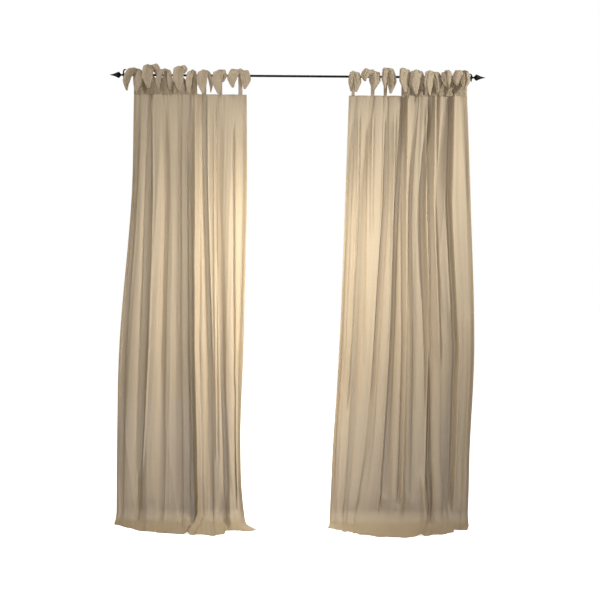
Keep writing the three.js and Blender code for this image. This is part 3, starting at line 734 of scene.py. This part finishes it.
def voile_material(name, colour, cover, crumple):
    """Taupe polyester voile. cover is the share of light that the cloth stops when it is seen straight on.
    Seen along its surface, the same threads stand closer together and stop more. crumple is the depth of the
    small irregular creases that handling leaves."""
    material, nodes, links = material_with_nodes(name)
    shader = nodes["Principled BSDF"]
    shader.inputs["Roughness"].default_value = VOILE_ROUGHNESS
    shader.inputs["Sheen Weight"].default_value = VOILE_SHEEN
    shader.inputs["Sheen Roughness"].default_value = VOILE_SHEEN_ROUGHNESS
    shader.inputs["Sheen Tint"].default_value = (*VOILE_SHEEN_TINT, 1)
    shader.inputs["Specular IOR Level"].default_value = VOILE_GLINT
    slant = add_node(nodes, "ShaderNodeLayerWeight", {"Blend": 0.5})
    cosine = add_node(nodes, "ShaderNodeMapRange", {"To Min": 1, "To Max": LEAST_COSINE})
    layers = add_math(nodes, links, "DIVIDE", 1, cosine.outputs["Result"])
    passed = add_math(nodes, links, "POWER", 1 - cover, layers)
    links.new(add_math(nodes, links, "SUBTRACT", 1, passed), shader.inputs["Alpha"])
    place = add_node(nodes, "ShaderNodeUVMap", uv_map="flat_cut")
    weave = add_node(
        nodes, "ShaderNodeGroup", {"Pitch": THREAD_PITCH, "Slub Length": SLUB_LENGTH}, node_tree=plain_weave,
    )
    tone = add_node(nodes, "ShaderNodeMapRange", {"From Min": SLUB_RANGE[0], "From Max": SLUB_RANGE[1]})
    dark_yarn, light_yarn = [(*[tone_share * c for c in colour], 1) for tone_share in SLUB_TONES]
    tinted = add_node(nodes, "ShaderNodeMix", {"A": dark_yarn, "B": light_yarn}, data_type="RGBA")
    creased = add_node(
        nodes, "ShaderNodeTexNoise",
        {"Scale": CRUMPLE_SCALE, "Detail": 2, "Distortion": CRUMPLE_DISTORTION},
    )
    crumpled = add_node(nodes, "ShaderNodeBump", {"Strength": 1, "Distance": crumple})
    bump = add_node(nodes, "ShaderNodeBump", {"Strength": THREAD_STRENGTH, "Distance": THREAD_HEIGHT})
    connect(
        links,
        (slant, "Facing", cosine, "Value"),
        (place, "UV", creased, "Vector"),
        (creased, "Fac", crumpled, "Height"),
        (crumpled, "Normal", bump, "Normal"),
        (place, "UV", weave, "Place"),
        (weave, "Lightness", tone, "Value"),
        (tone, "Result", tinted, "Factor"),
        (tinted, "Result", shader, "Base Color"),
        (weave, "Height", bump, "Height"),
        (bump, "Normal", shader, "Normal"),
    )
    return material


sheer_cloth = voile_material("sheer_cloth", SHEER_COLOUR, SHEER_COVER, SHEER_CRUMPLE)
for side in ("left", "right"):
    down = row_distances()
    fold_lines = rows_of(FOLD_LINE_COLUMNS, FOLD_LINES[side])
    creases = rows_of(CREASE_COLUMNS, CREASES[side])
    surface, flat_across = panel_surface(fold_lines, creases, HEM_STEPS[side], down)
    relief = fine_relief(flat_across, down, PANEL_SEEDS[side])
    surface = surface + surface_normals(surface) * relief[:, :, None]
    sheet, places = hemmed(surface, surface_normals(surface), flat_across, down)
    rows, columns = sheet.shape[:2]
    panel = mesh_piece(
        f"voile_panel_{side}", sheet.reshape(-1, 3), grid_faces(rows, columns), places.reshape(-1, 2),
    )
    panel.data.materials.append(sheer_cloth)
    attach(panel, "root")
    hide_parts(f"panel_{side}")


# The ties: each is a pair of strips of the same voile, doubled and stitched along their edges, sewn to the
# heading. One comes up before the rod and one behind it, and above it they are knotted, with free ends.

TIE_THICKNESS = 0.0012
LOOP_CLEARANCE = 0.0006
LOOP_WIDTH = 0.020  # the strips' width over the rod
LOOP_SPLIT = 0.044  # how far under the rod's axis the two strips part
LOOP_OPEN = 0.026  # how far under it the back one has spread to the width of its foot
STRIP_FOOT = 0.0857  # how far under the axis its foot is, at the heading's edge
STRIP_APART = 0.75  # of its thickness, from between the two strips to either one
STRIP_TURN = 0.96  # of a quarter turn, over the rod
STRIP_TURN_STEPS = 8
STRIP_ROOM = 0.002  # that the strips over the rod take up
STRIP_OVERLAP = 0.0008  # how far each strip's foot reaches over its neighbour's
STRIP_STEP = 0.0018  # every other tie's strips lie this far outside its neighbours'
STRIP_ROWS = 30
STRIP_COLUMNS = 13
STRIP_PLEATS = 2.5
STRIP_PLEAT_DEPTH = 0.0006
KNOT_WIDTH = 0.018
KNOT_DEPTH = 0.022
KNOT_FORWARD = 0.0033
KNOT_SIDES = 32
KNOT_RINGS = 20
KNOT_TWIST = 2.2
KNOT_CREASES = 5
KNOT_CREASE_DEPTH = 0.08
TAIL_FROM_TOP = 0.002  # how far under the knot's top a tail starts
TAIL_ROWS = 34
TAIL_COLUMNS = 17
TAIL_START_SHARE = 0.78  # its width where it leaves the knot, over its greatest
TAIL_OPEN_AT = 0.34  # the share of its length by which a tail has opened out
TAIL_CLOSE_FROM = 0.74  # and from which it is cut to its point
TAIL_END_SHARE = 0.2  # the point's width over the tail's
TAIL_LEAVE = 0.4  # how far out it comes over the rod, and how far down it swings out, as shares
TAIL_SWELL = 1.18  # how far out a tail swings on its way, over where its tip lies
TAIL_CUP = 0.24  # how far a tail's edges bend back, as a share of its width
TAIL_ROOF = 0.75  # how far they drop beside its middle over the rod, as a share of its half width
TAIL_TURN_AT = 0.5  # the share of its length over which this roof flattens out
TAIL_CLEARANCE = 0.005  # from a tail's edges to the strips over the rod
TAIL_BEND_ASIDE = 0.5  # how far off its middle a tail is folded, at most, as a share of its half width
TAIL_TWIST = 0.32  # radians that it has turned at its end, at most
TAIL_CREASES = 4
TAIL_CREASE_WIDTH = (0.08, 0.20)  # as shares of its half width
TAIL_CREASE_PLACE = 0.8  # how far off its middle one is, at most
TAIL_CREASE_SLANT = 0.7
TAIL_CUT = 0.4  # how far the cut draws its point to the inner edge, as a share of its half width
TAIL_BEND = 0.12  # how soft the fold down a tail's middle is, as a share of its half width
TAIL_CREASE_HEIGHT = 0.0032
TAIL_SEAM = 0.10  # the stitched edge's width, as a share of the tail's
TAIL_SEAM_HEIGHT = 0.0009
SHINGLE_STEP = 0.011  # the left tails hang this much nearer the room
HEADING_CLEARANCE_Y = 0.047  # tails that reach over the heading's crests hang this far into the room
HEADING_CLEARANCE_DROP = HEADING_DROP - 0.004
# The ties' colour is the voile's own taupe, set a little lighter than the panels'. That extra lightness is
# painted light that offsets the shade the tails and knots cast on the strips under them.
TIE_COLOUR_LIGHTENED = (0.375, 0.292, 0.195)
TIE_COVER = 0.97
TIE_CRUMPLE = 0.006

# One row for each tie, from the left of its panel. It stands at x on the rod, its top that far above the
# rod's axis. foot_left and foot_right are how far its strips spread to either side at the heading. Each
# tail's tip lies out to the side and drop under the axis, and wide is its greatest width.
TIE_COLUMNS = (
    "x", "top", "foot_left", "foot_right",
    "left_out", "left_drop", "left_wide", "right_out", "right_drop", "right_wide",
)
TIES = {"left": [
    (-0.736, 0.029, 0.015, 0.031, -0.045, 0.078, 0.034, 0.008, 0.091, 0.044),
    (-0.672, 0.046, 0.031, 0.032, -0.012, 0.066, 0.050, 0.030, 0.002, 0.034),
    (-0.606, 0.030, 0.032, 0.033, -0.030, 0.080, 0.026, 0.024, 0.072, 0.026),
    (-0.539, 0.041, 0.033, 0.028, -0.005, 0.078, 0.048, 0.024, -0.002, 0.028),
    (-0.481, 0.026, 0.028, 0.019, -0.014, 0.096, 0.030, 0.008, 0.058, 0.026),
    (-0.428, 0.026, 0.009, 0.008, -0.008, 0.091, 0.046, 0.034, 0.080, 0.020),
    (-0.354, 0.027, 0.007, 0.007, -0.012, 0.091, 0.048, 0.018, 0.034, 0.030),
    (-0.262, 0.033, 0.008, 0.008, -0.038, 0.062, 0.046, 0.028, 0.066, 0.044),
], "right": [
    (0.256, 0.026, 0.006, 0.006, -0.015, 0.072, 0.020, 0.018, 0.074, 0.038),
    (0.346, 0.033, 0.007, 0.007, -0.042, 0.028, 0.036, 0.008, 0.068, 0.052),
    (0.404, 0.041, 0.006, 0.006, -0.008, 0.060, 0.026, 0.028, 0.080, 0.044),
    (0.491, 0.041, 0.012, 0.028, -0.006, 0.078, 0.046, 0.016, 0.040, 0.026),
    (0.548, 0.032, 0.028, 0.031, -0.016, 0.091, 0.050, 0.018, 0.056, 0.030),
    (0.611, 0.030, 0.031, 0.034, -0.016, 0.093, 0.042, 0.034, 0.080, 0.042),
    (0.681, 0.032, 0.035, 0.034, -0.004, 0.058, 0.046, 0.022, 0.080, 0.024),
    (0.750, 0.031, 0.034, 0.029, -0.028, 0.046, 0.038, 0.018, 0.060, 0.044),
]}


def closed_sheet(points, thickness):
    """Points and faces of a closed sheet of even thickness round a grid of middle points."""
    rows, columns = points.shape[:2]
    half = surface_normals(points) * thickness / 2
    both = np.concatenate([(points + half).reshape(-1, 3), (points - half).reshape(-1, 3)])
    behind = rows * columns
    front = grid_faces(rows, columns)
    back = [tuple(behind + index for index in reversed(face)) for face in front]
    rim = list(range(columns))
    rim += [r * columns + columns - 1 for r in range(1, rows)]
    rim += [(rows - 1) * columns + c for c in range(columns - 2, -1, -1)]
    rim += [r * columns for r in range(rows - 2, 0, -1)]
    edge = [(rim[i], rim[(i + 1) % len(rim)]) for i in range(len(rim))]
    sides = [(a, b, behind + b, behind + a) for a, b in edge]
    return both, front + back + sides


def strip_sheet(foot_left, foot_right, facing, outside):
    """One of the two strips, from the heading up past the rod to the knot. facing is -1 for the strip before
    the rod, which fans out all the way down, and 1 for the one behind it, which spreads just under the rod.
    outside is how far it lies from the middle, round the strips of the ties beside it."""
    foot_left, foot_right = foot_left + STRIP_OVERLAP, foot_right + STRIP_OVERLAP
    middle = ROD_DIAMETER / 2 + LOOP_CLEARANCE + TIE_THICKNESS
    apart = facing * TIE_THICKNESS * STRIP_APART
    route = [(apart, -STRIP_FOOT), (apart, -LOOP_SPLIT)]
    route += [
        (facing * middle * math.cos(angle), middle * math.sin(angle))
        for angle in np.linspace(0, math.pi / 2 * STRIP_TURN, STRIP_TURN_STEPS)
    ]
    lengths = np.cumsum([0] + [math.dist(a, b) for a, b in zip(route, route[1:])])
    at = np.linspace(0, lengths[-1], STRIP_ROWS)
    y = np.interp(at, lengths, [point[0] for point in route])[:, None]
    z = np.interp(at, lengths, [point[1] for point in route])[:, None]
    side = np.linspace(-1, 1, STRIP_COLUMNS)[None, :]
    under = np.clip(-z / STRIP_FOOT, 0, 1)
    opened = under if facing < 0 else smooth(-z / LOOP_OPEN)
    half_left = blend(LOOP_WIDTH / 2, foot_left, opened)
    half = np.where(side < 0, half_left, blend(LOOP_WIDTH / 2, foot_right, opened))
    pleat = STRIP_PLEAT_DEPTH * np.cos(side * math.pi * STRIP_PLEATS) * under
    y = y + facing * (outside * smooth(-z / LOOP_OPEN) + pleat + STRIP_PLEAT_DEPTH)
    return np.stack(np.broadcast_arrays(side * half, y, z), axis=2)


def knot_lump(top):
    """The knot above the rod: a lump of turned cloth with creases that wind round it."""
    low = ROD_DIAMETER / 2 + LOOP_CLEARANCE
    height = (top - low) / 2
    points = []
    for ring in range(1, KNOT_RINGS):
        rise = math.pi * ring / KNOT_RINGS
        for side in range(KNOT_SIDES):
            angle = 2 * math.pi * side / KNOT_SIDES
            crease = 1 - KNOT_CREASE_DEPTH * (1 + math.cos(KNOT_CREASES * angle + KNOT_TWIST * rise)) / 2
            out = math.sin(rise) * crease
            points.append((
                KNOT_WIDTH / 2 * out * math.cos(angle),
                -KNOT_FORWARD + KNOT_DEPTH / 2 * out * math.sin(angle),
                low + height * (1 + math.cos(rise)),
            ))
    points += [(0, -KNOT_FORWARD, top), (0, -KNOT_FORWARD, low)]
    return points, round_faces(KNOT_RINGS - 1, KNOT_SIDES)


def tail_sheet(top, out, drop, wide, nearer, seed):
    """A free tail: out of the knot, over to its side and down before the rod, to a pointed end."""
    draw = random.Random(seed)
    bend_at = draw.uniform(-TAIL_BEND_ASIDE, TAIL_BEND_ASIDE)
    twist = draw.uniform(-TAIL_TWIST, TAIL_TWIST)
    creases = [
        (
            draw.uniform(-TAIL_CREASE_PLACE, TAIL_CREASE_PLACE),
            draw.uniform(-1, 1) * TAIL_CREASE_SLANT,
            draw.uniform(*TAIL_CREASE_WIDTH),
            draw.uniform(-1, 1) * TAIL_CREASE_HEIGHT,
        )
        for _ in range(TAIL_CREASES)
    ]
    strip_front = ROD_DIAMETER / 2 + LOOP_CLEARANCE + STRIP_ROOM
    hang_y = -strip_front - TAIL_CLEARANCE - wide * (TAIL_CUP + abs(twist) / 2) - nearer
    tip_y = -HEADING_CLEARANCE_Y if drop > HEADING_CLEARANCE_DROP else hang_y
    knots = [
        Vector((0, -nearer, top - TAIL_FROM_TOP)),
        Vector((out * TAIL_LEAVE, hang_y, top)),
        Vector((out * TAIL_SWELL, hang_y, blend(top, -drop, TAIL_LEAVE))),
        Vector((out, tip_y, -drop)),
    ]
    chord = Vector((out, 0, -drop - top)).normalized()
    grid = np.empty((TAIL_ROWS, TAIL_COLUMNS, 3))
    for r in range(TAIL_ROWS):
        t = r / (TAIL_ROWS - 1)
        middle = sum((
            knot * weight
            for knot, weight in zip(knots, ((1 - t) ** 3, 3 * t * (1 - t) ** 2, 3 * t * t * (1 - t), t ** 3))
        ), Vector())
        tangent = sum((
            (after - before) * weight
            for before, after, weight in zip(knots, knots[1:], ((1 - t) ** 2, 2 * t * (1 - t), t * t))
        ), Vector()).normalized()
        turned_share = float(smooth(t / TAIL_TURN_AT))
        run = Vector((tangent.x, 0, tangent.z)) * turned_share + chord * (1 - turned_share)
        across = run.cross(Vector((0, 1, 0))).normalized()
        opening = wide * blend(TAIL_START_SHARE, 1, float(smooth(t / TAIL_OPEN_AT)))
        closing = 1 - max((t - TAIL_CLOSE_FROM) / (1 - TAIL_CLOSE_FROM), 0) * (1 - TAIL_END_SHARE)
        half = opening * closing / 2
        drawn = math.copysign(TAIL_CUT * (opening / 2 - half), -out)
        for c in range(TAIL_COLUMNS):
            side = 2 * c / (TAIL_COLUMNS - 1) - 1
            folded = math.hypot(side - bend_at, TAIL_BEND) - TAIL_BEND
            point = middle - across * (side * half - drawn)
            crease = sum(
                height * bell(side - at - slant * (t - 0.5), width) for at, slant, width, height in creases
            )
            seam = TAIL_SEAM_HEIGHT * float(smooth((abs(side) - 1 + 2 * TAIL_SEAM) / TAIL_SEAM))
            point.y += folded * half * 2 * TAIL_CUP + side * half * math.sin(twist * t) - crease - seam
            point.z -= folded * half * TAIL_ROOF * (1 - turned_share)
            grid[r, c] = point
    return grid


# The same voile as the panels, painted a little lighter to offset the shade on the strips
tie_cloth = voile_material("tie_cloth", TIE_COLOUR_LIGHTENED, TIE_COVER, TIE_CRUMPLE)
tail_seeds = iter(range(2 * 2 * TIES_PER_PANEL))  # one for each of a tie's two tails, on both panels
for side in ("left", "right"):
    for number, tie in enumerate(rows_of(TIE_COLUMNS, TIES[side]), start=1):
        outside = STRIP_STEP * (number % 2)
        sheets = [strip_sheet(tie["foot_left"], tie["foot_right"], facing, outside) for facing in (-1, 1)]
        tails = [(tie[f"{way}_out"], tie[f"{way}_drop"], tie[f"{way}_wide"]) for way in ("left", "right")]
        for (out, drop, wide), nearer in zip(tails, (SHINGLE_STEP, 0)):
            sheets.append(tail_sheet(tie["top"], out, drop, wide, nearer, next(tail_seeds)))
        parts = [closed_sheet(sheet, TIE_THICKNESS) for sheet in sheets]
        points, faces = join_parts([*parts, knot_lump(tie["top"])])
        flat_places = [(x, z + y) for x, y, z in points]
        placed = [(x + tie["x"], y, z) for x, y, z in points]
        piece = mesh_piece(f"voile_tie_{side}_{number}", placed, faces, flat_places)
        piece.data.materials.append(tie_cloth)
        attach(piece, "root")
        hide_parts(f"tie_{side}_{number}")


# The room: a wide pale floor under plain white air that gives only a dim warm light of its own, soft lamps
# before the panels, over them, low between them and behind them, and a camera at chest height.

FLOOR_SIZE = 24.0
FLOOR_WHITE = (0.86, 0.86, 0.86)
FLOOR_ROUGHNESS = 0.8
SEEN_GLOW = 0.87  # of the floor, towards the camera
FLOOR_GLOW = 0.40  # and towards the cloth
AMBIENT_COLOUR = (1, 0.86, 0.70)
AMBIENT_STRENGTH = 0.22
FRONT_COLOUR = (0.91, 0.955, 1)
LOW_COLOUR = (1, 0.95, 0.87)
CAMERA_HEIGHT = 1.3  # above the floor
CAMERA_DISTANCE = 3.5
CAMERA_ASIDE = 0.0194
CAMERA_PITCH = 3.95  # degrees down
CAMERA_ROLL = 0.45
CAMERA_LENS = 44.92

floor_corners = [(x * FLOOR_SIZE / 2, y * FLOOR_SIZE / 2, -FLOOR_DROP) for y in (-1, 1) for x in (-1, 1)]
pale_floor = mesh_piece("pale_floor", floor_corners, grid_faces(2, 2))
floor_material, floor_nodes, floor_links = material_with_nodes("pale_floor")
floor_shader = floor_nodes["Principled BSDF"]
floor_shader.inputs["Base Color"].default_value = (*FLOOR_WHITE, 1)
floor_shader.inputs["Roughness"].default_value = FLOOR_ROUGHNESS
floor_shader.inputs["Emission Color"].default_value = (1, 1, 1, 1)
seen_by = add_node(floor_nodes, "ShaderNodeLightPath")
floor_glow = add_node(floor_nodes, "ShaderNodeMapRange", {"To Min": FLOOR_GLOW, "To Max": SEEN_GLOW})
connect(
    floor_links,
    (seen_by, "Is Camera Ray", floor_glow, "Value"),
    (floor_glow, "Result", floor_shader, "Emission Strength"),
)
pale_floor.data.materials.append(floor_material)

# White where the camera looks past the piece, and dim and warm where it lights the cloth
world = bpy.data.worlds.new("soft_daylight")
bpy.context.scene.world = world
world.use_nodes = True
air = world.node_tree
dim_air = air.nodes["Background"]
dim_air.inputs["Color"].default_value = (*AMBIENT_COLOUR, 1)
dim_air.inputs["Strength"].default_value = AMBIENT_STRENGTH
seen_air = add_node(air.nodes, "ShaderNodeBackground", {"Color": (1, 1, 1, 1), "Strength": 1})
chosen_air = add_node(air.nodes, "ShaderNodeMixShader")
connect(
    air.links,
    (add_node(air.nodes, "ShaderNodeLightPath"), "Is Camera Ray", chosen_air, "Fac"),
    (dim_air, "Background", chosen_air, 1),
    (seen_air, "Background", chosen_air, 2),
    (chosen_air, "Shader", air.nodes["World Output"], "Surface"),
)


def soft_light(name, place, target, size, power, spread=180, colour=FRONT_COLOUR):
    lamp = bpy.data.lights.new(name, "AREA")
    lamp.color = colour
    lamp.energy = power
    lamp.shape = "RECTANGLE"
    lamp.size, lamp.size_y = size
    lamp.spread = math.radians(spread)
    light = bpy.data.objects.new(name, lamp)
    light.location = place
    light.rotation_euler = (Vector(target) - Vector(place)).to_track_quat("-Z", "Y").to_euler()
    bpy.context.scene.collection.objects.link(light)


soft_light("key_light", (2.4, -1.2, 0.5), (0.5, 0, -0.7), (0.4, 0.4), 10, 60)
soft_light("front_light", (0, -1.6, -0.6), (-0.06, 0, -0.80), (0.8, 0.8), 6.2, 70)
soft_light("top_light", (0, -0.32, 1.0), (0, -0.12, -2.088), (1.4, 0.1), 3.0, 40)
soft_light("left_light", (-2.4, -1.0, 0.5), (-0.58, 0, 0.05), (0.2, 0.2), 0.5, 22)
soft_light("low_light_left", (0.02, -0.28, -1.10), (-0.5, 0, -1.25), (0.12, 1.2), 3.4, colour=LOW_COLOUR)
soft_light("low_light_right", (-0.02, -0.28, -1.10), (0.5, 0, -1.25), (0.12, 1.2), 2.5, colour=LOW_COLOUR)
soft_light("back_light", (-0.6, 2.6, 0.2), (0, 0, -1.0), (1.2, 1.2), 55)

camera_data = bpy.data.cameras.new("camera")
camera_data.sensor_width = 36
camera_data.lens = CAMERA_LENS
camera = bpy.data.objects.new("camera", camera_data)
camera.location = (CAMERA_ASIDE, -CAMERA_DISTANCE, CAMERA_HEIGHT - FLOOR_DROP)
tilt = Matrix.Rotation(math.pi / 2 - math.radians(CAMERA_PITCH), 3, "X")
camera.rotation_euler = (tilt @ Matrix.Rotation(math.radians(CAMERA_ROLL), 3, "Z")).to_euler()
bpy.context.scene.collection.objects.link(camera)
bpy.context.scene.camera = camera
bpy.context.scene.view_settings.view_transform = "Standard"
